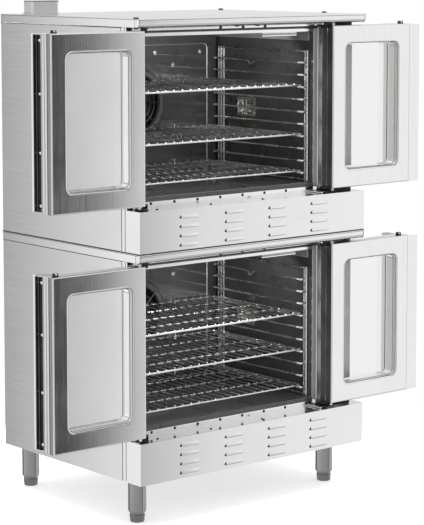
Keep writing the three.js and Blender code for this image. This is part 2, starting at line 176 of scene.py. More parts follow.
steel_along_x = brushed_steel("steel_grain_x", "X", (0.75, 0.75, 0.745), 0.13)
steel_along_y = brushed_steel("steel_grain_y", "Y", (0.70, 0.70, 0.695), 0.15)
steel_along_z = brushed_steel("steel_grain_z", "Z", (0.80, 0.80, 0.79), 0.30)
door_pan_steel = brushed_steel("door_pan_steel", "Z", (0.74, 0.74, 0.735), 0.09)
polished = brushed_steel("polished_edge", "Z", (0.90, 0.90, 0.89), 0.18)
enamel = speckled("dark_enamel", (0.046, 0.045, 0.044), (0.074, 0.072, 0.070), 0.30, coat=0.3)
chrome = speckled("chrome_wire", (0.78, 0.78, 0.77), (0.92, 0.92, 0.91), 0.27, metallic=1.0)
screw_steel = speckled("screw_steel", (0.35, 0.35, 0.35), (0.6, 0.6, 0.6), 0.3, metallic=1.0)
cast_iron = speckled("cast_iron", (0.02, 0.02, 0.02), (0.06, 0.058, 0.055), 0.7, bump=0.5)
black_plastic = speckled("black_plastic", (0.010, 0.010, 0.010), (0.03, 0.03, 0.03), 0.35)
black_steel = speckled("blackened_steel", (0.012, 0.012, 0.012), (0.04, 0.04, 0.04), 0.4, metallic=0.6)
ledge_steel = speckled("ledge_steel", (0.26, 0.26, 0.255), (0.36, 0.36, 0.355), 0.5, metallic=0.2)
shadow_steel = speckled("shadow_steel", (0.045, 0.045, 0.045), (0.10, 0.10, 0.10), 0.4, metallic=0.5)
foot_steel = brushed_steel("foot_steel", "Z", (0.24, 0.24, 0.235), 0.25)
# leg_steel is a darkened copy of the steel: painted dark reflection, for the dark surroundings the round
# legs mirror.
leg_steel = brushed_steel("leg_steel", "Z", (0.34, 0.34, 0.335), 0.08)
edge_steel = brushed_steel("edge_steel", "Z", (0.36, 0.36, 0.355), 0.2)
satin_steel = brushed_steel("satin_steel", "Z", (0.92, 0.92, 0.91), 0.5)
flue_steel = brushed_steel("flue_steel", "Z", (0.74, 0.74, 0.73), 0.34)
rubber = speckled("gasket", (0.012, 0.012, 0.012), (0.035, 0.034, 0.033), 0.65, bump=0.6)
nylon = speckled("white_nylon", (0.78, 0.78, 0.76), (0.88, 0.88, 0.86), 0.4)
dial_white = speckled("dial_marks", (0.75, 0.75, 0.73), (0.85, 0.85, 0.83), 0.5)
amber = speckled("amber_lens", (0.75, 0.25, 0.02), (0.95, 0.4, 0.05), 0.15, coat=0.6)
green = speckled("green_lens", (0.03, 0.4, 0.08), (0.06, 0.6, 0.14), 0.15, coat=0.6)
door_glass = clear_glass("door_glass", (0.98, 0.985, 0.983), 0.02)
lamp_glass = clear_glass("lamp_glass", (0.95, 0.94, 0.88), 0.12)

# The slot name that make_piece looks up for a piece in each of these, unless the piece names another; the
# rest are "brushed_steel"
USUAL_SLOTS = dict.fromkeys(
    (black_plastic, black_steel, rubber, nylon, dial_white, amber, green), "black_plastic"
)
USUAL_SLOTS[enamel] = "enamel"
USUAL_SLOTS[chrome] = "chrome_wire"
USUAL_SLOTS[lamp_glass] = "lamp_glass"
USUAL_SLOTS[screw_steel] = "steel_inner"


# ---------------------------------------------------------------- mesh helpers
SMOOTH_LIMIT = math.radians(38)
SHARP_LIMIT = math.radians(30)
FILLET_STEPS = 4


def make_piece(name, mesh, material, body="root", slot=None):
    """A mesh in millimetres as a piece of the object: scaled, shaded and riding on its body."""
    mesh.transform(Matrix.Scale(MM, 4))
    mesh.normal_update()
    for face in mesh.faces:
        face.smooth = True
    for edge in mesh.edges:
        edge.smooth = len(edge.link_faces) == 2 and edge.calc_face_angle(0) < SMOOTH_LIMIT
    data = bpy.data.meshes.new(name)
    mesh.to_mesh(data)
    mesh.free()
    data.materials.append(material)
    piece = bpy.data.objects.new(name, data)
    bpy.context.scene.collection.objects.link(piece)
    flat_faces = piece.modifiers.new("flat_faces", "WEIGHTED_NORMAL")
    flat_faces.keep_sharp = True
    slot = slot or USUAL_SLOTS.get(material, "brushed_steel")
    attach(piece, body)
    return piece


def node_box(node):
    """A CAD node's lowest and highest corner, in millimetres."""
    lo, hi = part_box(node)
    return lo / MM, hi / MM


def round_edges(mesh, radius):
    """Rounds the mesh's sharp edges."""
    bmesh.ops.remove_doubles(mesh, verts=mesh.verts, dist=0.001)
    sharp = [
        e for e in mesh.edges if len(e.link_faces) == 2 and e.calc_face_angle(0) > SHARP_LIMIT
    ]
    bmesh.ops.bevel(
        mesh, geom=sharp, offset=radius, segments=2, profile=0.5,
        affect="EDGES", clamp_overlap=True,
    )


def box_mesh(lo, hi, radius=0.0):
    """A box between two corners, with its edges rounded if a radius is given."""
    mesh = bmesh.new()
    lo, hi = Vector(lo), Vector(hi)
    bmesh.ops.create_cube(mesh, size=1.0)
    bmesh.ops.scale(mesh, vec=hi - lo, verts=mesh.verts)
    bmesh.ops.translate(mesh, vec=(lo + hi) / 2, verts=mesh.verts)
    if radius:
        round_edges(mesh, radius)
    return mesh


def axis_frame(axis):
    """Two unit vectors that make a right-handed set with axis."""
    helper = Z if abs(axis.z) < 0.9 else X
    side = axis.cross(helper).normalized()
    return side, axis.cross(side).normalized()


def circle(centre, side, up, radius, count, start=0.0):
    """Points round a centre, in the plane of side and up."""
    angles = [start + math.tau * i / count for i in range(count)]
    return [centre + (side * math.cos(a) + up * math.sin(a)) * radius for a in angles]


def lathe_mesh(profile, centre, axis, steps=24):
    """Turns (radius, height) points about an axis; ends on the axis are closed by a fan."""
    mesh = bmesh.new()
    axis = axis.normalized()
    side, up = axis_frame(axis)
    rings = []
    for radius, height in profile:
        base = Vector(centre) + axis * height
        points = circle(base, side, up, radius, steps) if radius else [base]
        rings.append([mesh.verts.new(p) for p in points])
    for lower, upper in zip(rings, rings[1:]):
        for i in range(steps):
            j = (i + 1) % steps
            corners = [
                lower[i % len(lower)], lower[j % len(lower)],
                upper[j % len(upper)], upper[i % len(upper)],
            ]
            unique = list(dict.fromkeys(corners))
            if len(unique) > 2:
                mesh.faces.new(unique)
    for ring in (rings[0], rings[-1]):
        if len(ring) > 2:
            mesh.faces.new(ring)
    bmesh.ops.recalc_face_normals(mesh, faces=mesh.faces)
    return mesh


def prism_mesh(outline, origin, u_axis, v_axis, depth, radius=0.0):
    """A closed outline of (u, v) points, extruded along u x v by depth."""
    mesh = bmesh.new()
    origin = Vector(origin)
    corners = [mesh.verts.new(origin + u_axis * u + v_axis * v) for u, v in outline]
    face = mesh.faces.new(corners)
    made = bmesh.ops.extrude_face_region(mesh, geom=[face])
    moved = [v for v in made["geom"] if isinstance(v, bmesh.types.BMVert)]
    bmesh.ops.translate(mesh, vec=u_axis.cross(v_axis) * depth, verts=moved)
    bmesh.ops.recalc_face_normals(mesh, faces=mesh.faces)
    if radius:
        round_edges(mesh, radius)
    return mesh


def rounded_rectangle(u0, u1, v0, v1, radius, steps):
    """An outline that runs anticlockwise, with round corners."""
    centres = [
        (u1 - radius, v0 + radius, -math.pi / 2),
        (u1 - radius, v1 - radius, 0.0),
        (u0 + radius, v1 - radius, math.pi / 2),
        (u0 + radius, v0 + radius, math.pi),
    ]
    outline = []
    for cu, cv, start in centres:
        for i in range(steps + 1):
            angle = start + math.pi / 2 * i / steps
            outline.append((cu + radius * math.cos(angle), cv + radius * math.sin(angle)))
    return outline


def grown_loop(sides, level, grow, radius, steps, normal="y"):
    """A rounded rectangle, moved outward by grow, in the plane at level on the normal's axis."""
    u0, u1, v0, v1 = sides
    points = []
    for u, v in rounded_rectangle(u0 - grow, u1 + grow, v0 - grow, v1 + grow, radius, steps):
        point = [u, v]
        point.insert("xyz".index(normal), level)
        points.append(Vector(point))
    return points


def loft_mesh(loops, close_ends=False):
    """Skins a row of closed loops that all have the same number of points."""
    mesh = bmesh.new()
    rings = [[mesh.verts.new(p) for p in loop] for loop in loops]
    count = len(rings[0])
    for lower, upper in zip(rings, rings[1:]):
        for i in range(count):
            j = (i + 1) % count
            mesh.faces.new((lower[i], lower[j], upper[j], upper[i]))
    if close_ends:
        mesh.faces.new(rings[0])
        mesh.faces.new(rings[-1])
    bmesh.ops.recalc_face_normals(mesh, faces=mesh.faces)
    return mesh


def fillet_path(points, radius):
    """A polyline whose inner corners are rounded by arcs."""
    path = [Vector(points[0])]
    for before, corner, after in zip(points, points[1:], points[2:]):
        before, corner, after = Vector(before), Vector(corner), Vector(after)
        reach = min(radius, (before - corner).length / 2.2, (after - corner).length / 2.2)
        start = corner + (before - corner).normalized() * reach
        end = corner + (after - corner).normalized() * reach
        for i in range(FILLET_STEPS + 1):
            t = i / FILLET_STEPS
            path.append(start * (1 - t) ** 2 + corner * 2 * t * (1 - t) + end * t**2)
    path.append(Vector(points[-1]))
    return path


def wire_mesh(points, radius, bend=0.0, sides=8):
    """A round wire along points, with domed ends."""
    path = fillet_path(points, bend) if bend else [Vector(p) for p in points]
    last = len(path) - 1
    tangents = [
        (path[min(i + 1, last)] - path[max(i - 1, 0)]).normalized() for i in range(len(path))
    ]
    side, _ = axis_frame(tangents[0])
    loops = []
    for i, (point, tangent) in enumerate(zip(path, tangents)):
        side = (side - tangent * side.dot(tangent)).normalized()
        up = tangent.cross(side)
        if i == 0:
            loops.append(circle(point - tangent * radius * 0.6, side, up, radius * 0.45, sides))
        loops.append(circle(point, side, up, radius, sides))
        if i == last:
            loops.append(circle(point + tangent * radius * 0.6, side, up, radius * 0.45, sides))
    return loft_mesh(loops, close_ends=True)


def ring_mesh(loop, radius):
    """A round wire along a loop that comes back to its start."""
    return wire_mesh([*loop, loop[0]], radius, sides=6)


def upright(x, y, z0, z1, radius, sides=8):
    """A straight vertical rod."""
    return wire_mesh([(x, y, z0), (x, y, z1)], radius, sides=sides)


def screw_mesh(centre, normal, radius):
    """A pan-head screw on a thin washer, its head's top hollowed by a hex socket."""
    shares = [
        (0, -0.2), (1.45, -0.2), (1.45, 0.14), (1.05, 0.18), (1, 0.42), (0.86, 0.66),
        (0.58, 0.78), (0.42, 0.78), (0.36, 0.40), (0, 0.36),
    ]
    return lathe_mesh([(radius * u, radius * v) for u, v in shares], centre, normal, 14)


def gather(meshes):
    """Joins meshes into one and frees them."""
    whole = bmesh.new()
    scratch = bpy.data.meshes.new("scratch")
    for mesh in meshes:
        mesh.to_mesh(scratch)
        mesh.free()
        whole.from_mesh(scratch)
    bpy.data.meshes.remove(scratch)
    return whole


def paint_node(node, material):
    """Gives a CAD node its finish."""
    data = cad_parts[node].data
    data.materials.clear()
    data.materials.append(material)


def soft_edges(piece, width, limit):
    """Rounds an object's edges that bend by more than limit degrees, by a modifier."""
    bevel = piece.modifiers.new("soft_edges", "BEVEL")
    bevel.width = width * MM
    bevel.segments = 2
    bevel.limit_method = "ANGLE"
    bevel.angle_limit = math.radians(limit)
    return bevel


def soften_node(node, width):
    """Rounds a CAD node's sharp edges without touching its mesh."""
    soft_edges(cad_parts[node], width, 40).harden_normals = True


# ---------------------------------------------------------------- cabinet
COVER_FOLD = 3
COVER_ROLL = 12


def folded_cover(deck):
    """The deck's top cover: a flat front band whose lower edge is rolled back."""
    node = f"{deck}_top_cover"
    lo, hi = node_box(node)
    front, bottom, top = lo.y, lo.z, hi.z
    section = [(hi.y, bottom), (hi.y, top), (front + 4, top)]
    for i in range(1, 4):
        angle = math.pi / 2 * i / 3
        y = front + COVER_FOLD - COVER_FOLD * math.sin(angle)
        section.append((y, top - COVER_FOLD + COVER_FOLD * math.cos(angle)))
    for i in range(6):
        angle = math.pi / 2 * i / 5
        y = front + COVER_ROLL - COVER_ROLL * math.cos(angle)
        section.append((y, bottom + COVER_ROLL - COVER_ROLL * math.sin(angle)))
    cover = prism_mesh(section, (lo.x, 0, 0), Y, Z, hi.x - lo.x)
    piece = make_piece(f"{deck}_folded_cover", cover, steel_along_x)
    soft_edges(piece, 1.0, 50)
    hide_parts(node)
    nose = section[2:] + [(front + 22, bottom + 1), (front + 22, top - 3), (front + 4, top - 0.5)]
    ends = [
        wire_mesh([(x, y, z) for y, z in nose], 0.9, sides=6) for x in (lo.x + 0.2, hi.x - 0.2)
    ]
    make_piece(f"{deck}_cover_ends", gather(ends), shadow_steel)


def cabinet(deck):
    """Finishes for the cabinet's CAD nodes."""
    folded_cover(deck)
    paint_node(f"{deck}_body_pan", steel_along_x)
    for part, material, width in (
        ("left_side_panel", steel_along_y, 0.6),
        ("right_side_panel", steel_along_y, 0.6),
        ("front_frame", steel_along_x, 0.5),
        ("louvered_panel", steel_along_x, 0.6),
        ("control_panel", satin_steel, 0.5),
    ):
        paint_node(f"{deck}_{part}", material)
        soften_node(f"{deck}_{part}", width)


LOUVRE_COLUMNS = 4
LOUVRE_ROWS = 4
LOUVRE_FIRST = Vector((169, 0, 16))
LOUVRE_PITCH = Vector((188, 0, 30))
LOUVRE_SIZE = Vector((66, 0, 6))


def louvre_mesh(corner):
    """One pressed hood over a slot: an arch that fades to its right end; its left end is open."""
    rise = 2.2
    height = 6.5
    steps = 10
    columns = 14
    x0 = corner.x - 3
    x1 = corner.x + LOUVRE_SIZE.x + 6
    middle = corner.z + LOUVRE_SIZE.z / 2
    mesh = bmesh.new()
    rows = []
    for i in range(columns + 1):
        share = i / columns
        x = x0 + (x1 - x0) * share
        swell = (1 - share ** 3) ** 0.5
        row = []
        for k in range(steps + 1):
            angle = math.pi * k / steps - math.pi / 2
            out = rise * math.cos(angle) * swell + 0.05
            row.append(mesh.verts.new((x, corner.y - out, middle + height * math.sin(angle))))
        rows.append(row)
    for left, right in zip(rows, rows[1:]):
        for a, b, c, d in zip(left, right, right[1:], left[1:]):
            mesh.faces.new((a, b, c, d))
    return mesh


def louvre_mouth(corner):
    """The dark arched opening at a hood's left end."""
    outline = [(-6, 0)]
    for k in range(9):
        angle = math.pi * (1 - k / 8)
        outline.append((6 * math.cos(angle), 1 + 6 * math.sin(angle)))
    outline.append((6, 0))
    return prism_mesh(outline, (corner.x - 4, corner.y, corner.z - 1), X, Z, 0.6)


def louvres(deck):
    """The lower front panel's pressed hoods, in rows and columns."""
    lo, _ = node_box(f"{deck}_louvered_panel")
    hoods = []
    mouths = []
    for column in range(LOUVRE_COLUMNS):
        for row in range(LOUVRE_ROWS):
            corner = Vector((
                lo.x + LOUVRE_FIRST.x + column * LOUVRE_PITCH.x,
                lo.y + 0.2,
                lo.z - 0.3 + LOUVRE_FIRST.z + row * LOUVRE_PITCH.z,
            ))
            hoods.append(louvre_mesh(corner))
            mouths.append(louvre_mouth(corner))
    make_piece(f"{deck}_louvre_hoods", gather(hoods), steel_along_x)
    make_piece(f"{deck}_louvre_mouths", gather(mouths), black_steel)


# ---------------------------------------------------------------- doors
DOOR_THICKNESS = 56
DOOR_CORNER = 3
EAR = 22
EAR_BELOW = 9
EAR_ABOVE = 3
LAP_OVERHANG = 36
LAP_WIDTH = 48
LAP_PROUD = 0.7
WINDOW_CORNER = 22
DOOR_SEAM = 21
BEAD_HEIGHT = 0.9
BEAD_STEPS = 12
BEARING_INSET = 14
BEARING_SETBACK = 14
BEARING_RADIUS = 5
BEARING_HEIGHT = 8.5


def door_facts(deck, side):
    """Where a door leaf lies while open; direction runs from its hinge edge to its free edge."""
    lo, hi = node_box(f"{deck}_{side}_door")
    glass_lo, glass_hi = node_box(f"{deck}_{side}_door_glass")
    left = side == "left"
    edge = hi.x - EAR if left else lo.x + EAR
    free = lo.x if left else hi.x - LAP_OVERHANG
    front, back = hi.y - DOOR_THICKNESS, hi.y
    bottom, top = lo.z + EAR_BELOW, hi.z - EAR_ABOVE
    return SimpleNamespace(
        edge=edge,
        direction=-1 if left else 1,
        width=abs(free - edge),
        front=front,
        middle=(front + back) / 2,
        back=back,
        bottom=bottom,
        top=top,
        leaf=(min(edge, free), max(edge, free), bottom, top, DOOR_CORNER),
        window=(glass_lo.x, glass_hi.x, glass_lo.z, glass_hi.z, WINDOW_CORNER),
        glass_front=glass_lo.y,
        body=f"{deck}_{side}_door",
    )


def span(d, start, end):
    """The lowest and highest x between two distances from a door's hinge edge."""
    return sorted((d.edge + d.direction * start, d.edge + d.direction * end))


def door_loop(outline, y, grow=0.0):
    """One rounded loop round the door or its window, moved outward by grow."""
    *sides, radius = outline
    return grown_loop(sides, y, grow, max(radius + grow, 0.4), 6)


def skin_beads(leaf, y0, y1):
    """Rows of the two shallow beads round the outer skin's edge."""
    rows = []
    for i in range(BEAD_STEPS + 1):
        share = i / BEAD_STEPS
        swell = abs(math.sin(share * math.tau))
        rows.append((leaf, y0 + (y1 - y0) * share, (swell - 1) * BEAD_HEIGHT))
    return rows


def door_shells(deck, side):
    """The leaf's shells, each given by rows of outline, place in y and growth."""
    d = door_facts(deck, side)
    leaf, window = d.leaf, d.window
    near, far = d.front, d.back
    seam = near + DOOR_SEAM
    glass = d.glass_front - 0.5
    shells = (
        ("door_pan", door_pan_steel, [
            (leaf, near + 3.6, 0), (leaf, near + 1.8, -0.5), (leaf, near + 0.5, -1.8),
            (leaf, near, -3.6), (leaf, near, -5), (window, near, 7), (window, near, 5.5),
            (window, near - 0.8, 4.5), (window, near - 0.8, 2), (window, near + 0.4, 0.4),
            (window, near + 3, -0.4),
        ]),
        ("door_skin", steel_along_z, [
            (leaf, seam + 3.5, -2), *skin_beads(leaf, seam + 3.5, far - 2),
            (leaf, far - 1, -0.8), (leaf, far, -2.8), (leaf, far, -4.2),
            (window, far, 3), (window, far, 1.5), (window, far - 1.2, -0.5),
            (window, far - 3, -1), (window, far - 3, -5),
        ]),
        ("pan_edge", edge_steel, [
            (leaf, seam - 1.5, -2), (leaf, seam - 1.5, 0), (leaf, near + 3.6, 0),
        ]),
        ("window_reveal", satin_steel, [
            (window, near + 3, -0.4), (window, seam - 5, -1), (window, seam - 4, 3),
        ]),
        ("window_step", polished, [
            (window, seam - 4.5, 3), (window, seam - 4.5, -3.5),
            (window, glass, -3.5), (window, glass, -7),
        ]),
        ("door_seam", black_steel, [(leaf, seam - 2, -2), (leaf, seam + 4, -2)]),
    )
    for name, material, rows in shells:
        shell = loft_mesh([door_loop(*row) for row in rows])
        piece = make_piece(f"{deck}_{side}_{name}", shell, material, d.body)
        if name == "door_pan":
            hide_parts(f"{deck}_{side}_door")


def door_edge_details(deck, side):
    """Dark rings in the window's edge, the gasket line darkened as painted shade and a painted shadow
    line round the raised lip; and dark strips in the door's hinge edge as painted dark reflection.
    """
    d = door_facts(deck, side)
    # Painted shade: the thin shallow ring is the shadow round the pan's raised lip; the deeper ring is
    # the gasket line, drawn black as shade.
    rings = [
        ring_mesh(door_loop(d.window, d.front + depth, -0.6), radius)
        for depth, radius in ((2.4, 0.7), (DOOR_SEAM - 3.5, 1.8))
    ]
    make_piece(f"{deck}_{side}_window_gasket", gather(rings), black_steel, d.body)
    # Painted dark reflection: dark strips on the hinge edge, for the dark surroundings that steel edge
    # mirrors.
    x0, x1 = span(d, -0.5, 1)
    dark_strips = [
        box_mesh((x0, y0, d.bottom + 3), (x1, y1, d.top - 3), 0.2)
        for y0, y1 in ((d.front + 2, d.middle - 2), (d.middle + 2, d.back - 3))
    ]
    make_piece(f"{deck}_{side}_edge_dark_reflection", gather(dark_strips), shadow_steel, d.body)


def door_lap_strip(deck):
    """The strip on the right door's free edge that laps the left door when both are closed."""
    d = door_facts(deck, "right")
    tip = d.edge + d.width + LAP_OVERHANG
    strip = box_mesh(
        (tip - LAP_WIDTH, d.front - LAP_PROUD, d.bottom + 1), (tip, d.front - 0.1, d.top - 1), 0.15
    )
    make_piece(f"{deck}_right_door_lap_strip", strip, door_pan_steel, d.body)


def door_hinges(deck, side):
    """Black hinge blocks at the door's two hinge corners."""
    d = door_facts(deck, side)
    lo, hi = node_box(f"{deck}_{side}_door")
    blocks = []
    for end, z0, z1 in (
        (1, lo.z, d.bottom - 0.2), (1, d.top + 0.2, hi.z),
        (-0.3, lo.z + 0.5, lo.z + 15.5), (-0.3, d.top - 8, d.top + 7),
    ):
        x0, x1 = span(d, -EAR, end)
        blocks.append(box_mesh((x0, d.middle - 10, z0), (x1, d.middle + 10, z1), 1.2))
    make_piece(f"{deck}_{side}_hinge_blocks", gather(blocks), black_steel, d.body)


CATCH_INSET = 30


def roller_catch(deck, side):
    """A black saddle on the door's top edge that holds a white roller."""
    d = door_facts(deck, side)
    x = d.edge + d.direction * (d.width - CATCH_INSET)
    y = d.middle
    top = d.top
    saddle = [
        (-8, 0), (8, 0), (8, 3), (6, 3.5), (6, 9.5),
        (4.2, 9.5), (4.2, 3), (-4.2, 3), (-4.2, 9.5),
        (-6, 9.5), (-6, 3.5), (-8, 3),
    ]
    body = prism_mesh(saddle, (x, y + 7, top), X, Z, 14, 0.5)
    make_piece(f"{deck}_{side}_catch_saddle", body, black_steel, d.body)
    roller = lathe_mesh(
        [(0, 0), (3.0, 0), (3.6, 0.8), (3.6, 10.2), (3.0, 11), (0, 11)],
        (x, y - 5.5, top + 5.2), Y, 16,
    )
    make_piece(f"{deck}_{side}_catch_roller", roller, nylon, d.body)


HANDLE_LIP_INSET = 7
HANDLE_LIP_RADIUS = 6
HANDLE_SCREW_DROPS = (22, 184, 364, 526)


def handle_details(deck, side):
    """Painted shade as a dark sheet in the pull's hollow, a grey rod down it as a painted reflection, a
    rolled lip, and the screws that hold its foot.
    """
    node = f"{deck}_{side}_door_handle"
    paint_node(node, steel_along_z)
    soften_node(node, 0.8)
    d = door_facts(deck, side)
    lo, hi = node_box(node)
    near, far = lo.y, hi.y

    def across(setback):
        return d.edge + d.direction * (d.width - setback)

    def add(part, mesh, material, slot="black_plastic"):
        make_piece(f"{deck}_{side}_handle_{part}", mesh, material, d.body, slot)

    web = [
        (across(29), far - 3.4), (across(62.5), near + 3), (across(19), near + 3),
        (across(19), near + 3.6), (across(61.2), near + 3.6), (across(28.4), far - 4),
        (across(8), far - 4), (across(8), far - 3.4),
    ]
    # Painted shade: a dark sheet over the hollow's web, where the inside of the pull lies in shadow.
    add("hollow_shade", prism_mesh(web, (0, 0, lo.z + 3), X, Y, hi.z - lo.z - 6), shadow_steel)
    lip = upright(across(HANDLE_LIP_INSET), far - 6.5, lo.z + 2, hi.z - 2, HANDLE_LIP_RADIUS, 12)
    add("lip", lip, polished, "brushed_steel")
    # Painted reflection: the grey rod down the hollow's middle stands for the faint light the hollow
    # reflects.
    add("flange", upright(across(6), near + 27, lo.z + 3, hi.z - 3, 2), shadow_steel)
    posts = []
    screws = []
    for drop in HANDLE_SCREW_DROPS:
        z = d.top - drop
        posts.append(wire_mesh([(across(9), near + 13, z), (across(9), far - 14, z)], 3))
        screws.append(screw_mesh((across(5.5), near + 10, z), X * d.direction, 3.2))
    add("posts", gather(posts), black_steel)
    # Painted highlight: the steel screws are drawn in white nylon for the glints on their heads.
    add("screws", gather(screws), nylon, "chrome_wire")
    tray = [
        (across(5), far - 1), (across(30), far - 1), (across(66), near + 1),
        (across(19), near + 1), (across(5), near + 20),
    ]
    add("cap", prism_mesh(tray, (0, 0, hi.z - 0.2), X, Y, 0.7), ledge_steel, "brushed_steel")


# ---------------------------------------------------------------- racks and guides
RACK_ROD = 3.4
RACK_WIRE = 2.5
RACK_WIRES = 19
RACK_STOP = 22
RACK_STOP_SPREAD = 130


def wire_rack(deck, place):
    """A sliding rack: rim, cross bars, close wires from front to back and two stops."""
    node = f"{deck}_{place}_rack"
    lo, hi = node_box(node)
    x0, x1 = lo.x + RACK_ROD, hi.x - RACK_ROD
    y0, y1 = lo.y + RACK_ROD, hi.y - RACK_ROD
    z = lo.z + RACK_ROD
    corner = 12
    rim = rounded_rectangle(x0, x1, y0, y1, corner, 4)
    rim.append(rim[0])
    wires = [wire_mesh([(x, y, z) for x, y in rim], RACK_ROD)]
    for share in (0.25, 0.5, 0.75):
        y = y0 + (y1 - y0) * share
        wires.append(wire_mesh([(x0, y, z), (x1, y, z)], RACK_ROD * 0.85))
    top = z + RACK_ROD + RACK_WIRE * 0.6
    for i in range(RACK_WIRES):
        x = x0 + (x1 - x0) * (i + 1) / (RACK_WIRES + 1)
        path = [(x, y0 - RACK_ROD * 0.4, z), (x, y0 + 4, top), (x, y1 - 4, top), (x, y1, z)]
        wires.append(wire_mesh(path, RACK_WIRE, bend=3, sides=6))
    middle = (x0 + x1) / 2
    for side in (-1, 1):
        x = middle + side * RACK_STOP_SPREAD
        stop = [
            (x, y1 - 40, z), (x + side * 6, y1 - 30, z + RACK_STOP),
            (x - side * 8, y1 - 6, z + RACK_STOP * 0.2), (x - side * 8, y1, z),
        ]
        wires.append(wire_mesh(stop, RACK_ROD * 0.8, bend=4))
    piece = make_piece(f"{deck}_{place}_wire_rack", gather(wires), chrome, node)
    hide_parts(node)


RUNG_COUNT = 10
RUNG_PITCH = 41.6
GUIDE_ROD = 3.2
GUIDE_DROP = 71.6
GUIDE_CREST = 34
NOTCH = {"share": 0.58, "half": 28, "depth": 17}


def rack_guide(deck, side):
    """Bent-wire ladder on the cavity's side wall; the top rung dips to catch a rack's stop."""
    node = f"{deck}_{side}_rack_guide"
    lo, hi = node_box(node)
    wall, inner = (hi.x, lo.x) if side == "right" else (lo.x, hi.x)
    inward = 1 if inner > wall else -1
    upright_x = wall + inward * 3
    rung_x = inner - inward * GUIDE_ROD
    top = hi.z - GUIDE_DROP
    wires = []
    wire_end_glints = []
    uprights = [lo.y + 3, lo.y + 13, hi.y - 3, hi.y - 17, hi.y - 31]
    crest = hi.z - GUIDE_CREST
    for y in uprights:
        wires.append(upright(upright_x, y, lo.z, crest, GUIDE_ROD))
    for z in (lo.z + 4, crest - 4):
        wires.append(wire_mesh([(upright_x, uprights[0], z), (upright_x, uprights[2], z)], GUIDE_ROD))
    for i in range(RUNG_COUNT):
        z = top - i * RUNG_PITCH - GUIDE_ROD
        y0, y1 = lo.y + 4, hi.y - 4
        path = [(upright_x, y0, z), (rung_x, y0, z)]
        if i == 0:
            y = y0 + (y1 - y0) * NOTCH["share"]
            path += [
                (rung_x, y - NOTCH["half"], z), (rung_x, y, z - NOTCH["depth"]),
                (rung_x, y + NOTCH["half"] * 0.4, z),
            ]
        path += [(rung_x, y1, z), (upright_x, y1, z)]
        wires.append(wire_mesh(path, GUIDE_ROD, bend=6))
        # Painted highlight: white lumps on the rung ends stand for the bright glints on the chrome wire.
        for y, half in ((y0 + 10, 12), (y1 - 6, 6)):
            profile = [(0, -half), (3.2, -half + 2), (3.2, half - 2), (0, half)]
            wire_end_glints.append(lathe_mesh(profile, (rung_x, y, z), Y, 10))
    make_piece(f"{deck}_{side}_guide_wire_glints", gather(wire_end_glints), nylon, slot="chrome_wire")
    piece = make_piece(f"{deck}_{side}_wire_guide", gather(wires), chrome)
    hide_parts(node)


# ---------------------------------------------------------------- cavity


INLET_RADIUS = 100
BAFFLE_DROP = 46
BAFFLE_INSET = 44
BAFFLE_SCREWS = (-1, -0.35, 0.25, 0.85)
GUARD_WIRE = 1.6
GUARD_RINGS = (20, 38, 56, 74)
GUARD_SPOKES = 4
LAMP_BORDER = 9


def fan_baffle(deck):
    """Pressed plate in front of the fan, with a rolled inlet and flanged edges."""
    node = f"{deck}_fan_baffle"
    lo, hi = node_box(node)
    front = lo.y
    centre = Vector(((lo.x + hi.x) / 2, front, (lo.z + hi.z) / 2))
    loops = [
        grown_loop((lo.x, hi.x, lo.z, hi.z), front + setback, grow, 18, 11)
        for setback, grow in ((14, 0), (3, 0), (0, -2))
    ]
    count = len(loops[0])
    for setback, flare in ((0, 26), (-5, 20), (-6, 12), (-2, 3), (8, 0)):
        loops.append(circle(centre + Y * setback, X, Z, INLET_RADIUS + flare, count, -math.pi / 2))
    plate = make_piece(f"{deck}_baffle_plate", loft_mesh(loops), enamel)
    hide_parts(node)
    inner = (lo.x + 4, hi.x - BAFFLE_INSET, lo.z + 4, hi.z - BAFFLE_DROP)
    # Painted highlight: a light wire along the enamel plate's edge, for the light outline that edge
    # catches.
    rim = ring_mesh(grown_loop(inner, front - 1, 0, 16, 5), GUARD_WIRE)
    make_piece(f"{deck}_baffle_rim_highlight", rim, satin_steel, slot="enamel")
    guard = [
        ring_mesh(circle(centre - Y * 7, X, Z, radius, 40), GUARD_WIRE) for radius in GUARD_RINGS
    ]
    middle = centre - Y * 9
    for i in range(GUARD_SPOKES):
        angle = math.pi / GUARD_SPOKES * (2 * i + 1)
        out = Vector((math.cos(angle), 0, math.sin(angle)))
        guard.append(wire_mesh([middle + out * 18, middle + out * 112], GUARD_WIRE, sides=6))
    make_piece(f"{deck}_fan_guard", gather(guard), shadow_steel, slot="chrome_wire")
    half = hi - centre
    places = [(0.45 * half.x, 130)]
    for share in BAFFLE_SCREWS:
        x = share * (half.x - 26)
        places += [(x, 24 - half.z), (x, half.z - BAFFLE_DROP - 28)]
    screws = [screw_mesh(centre + X * x + Z * z, -Y, 5) for x, z in places]
    make_piece(f"{deck}_baffle_screws", gather(screws), chrome)


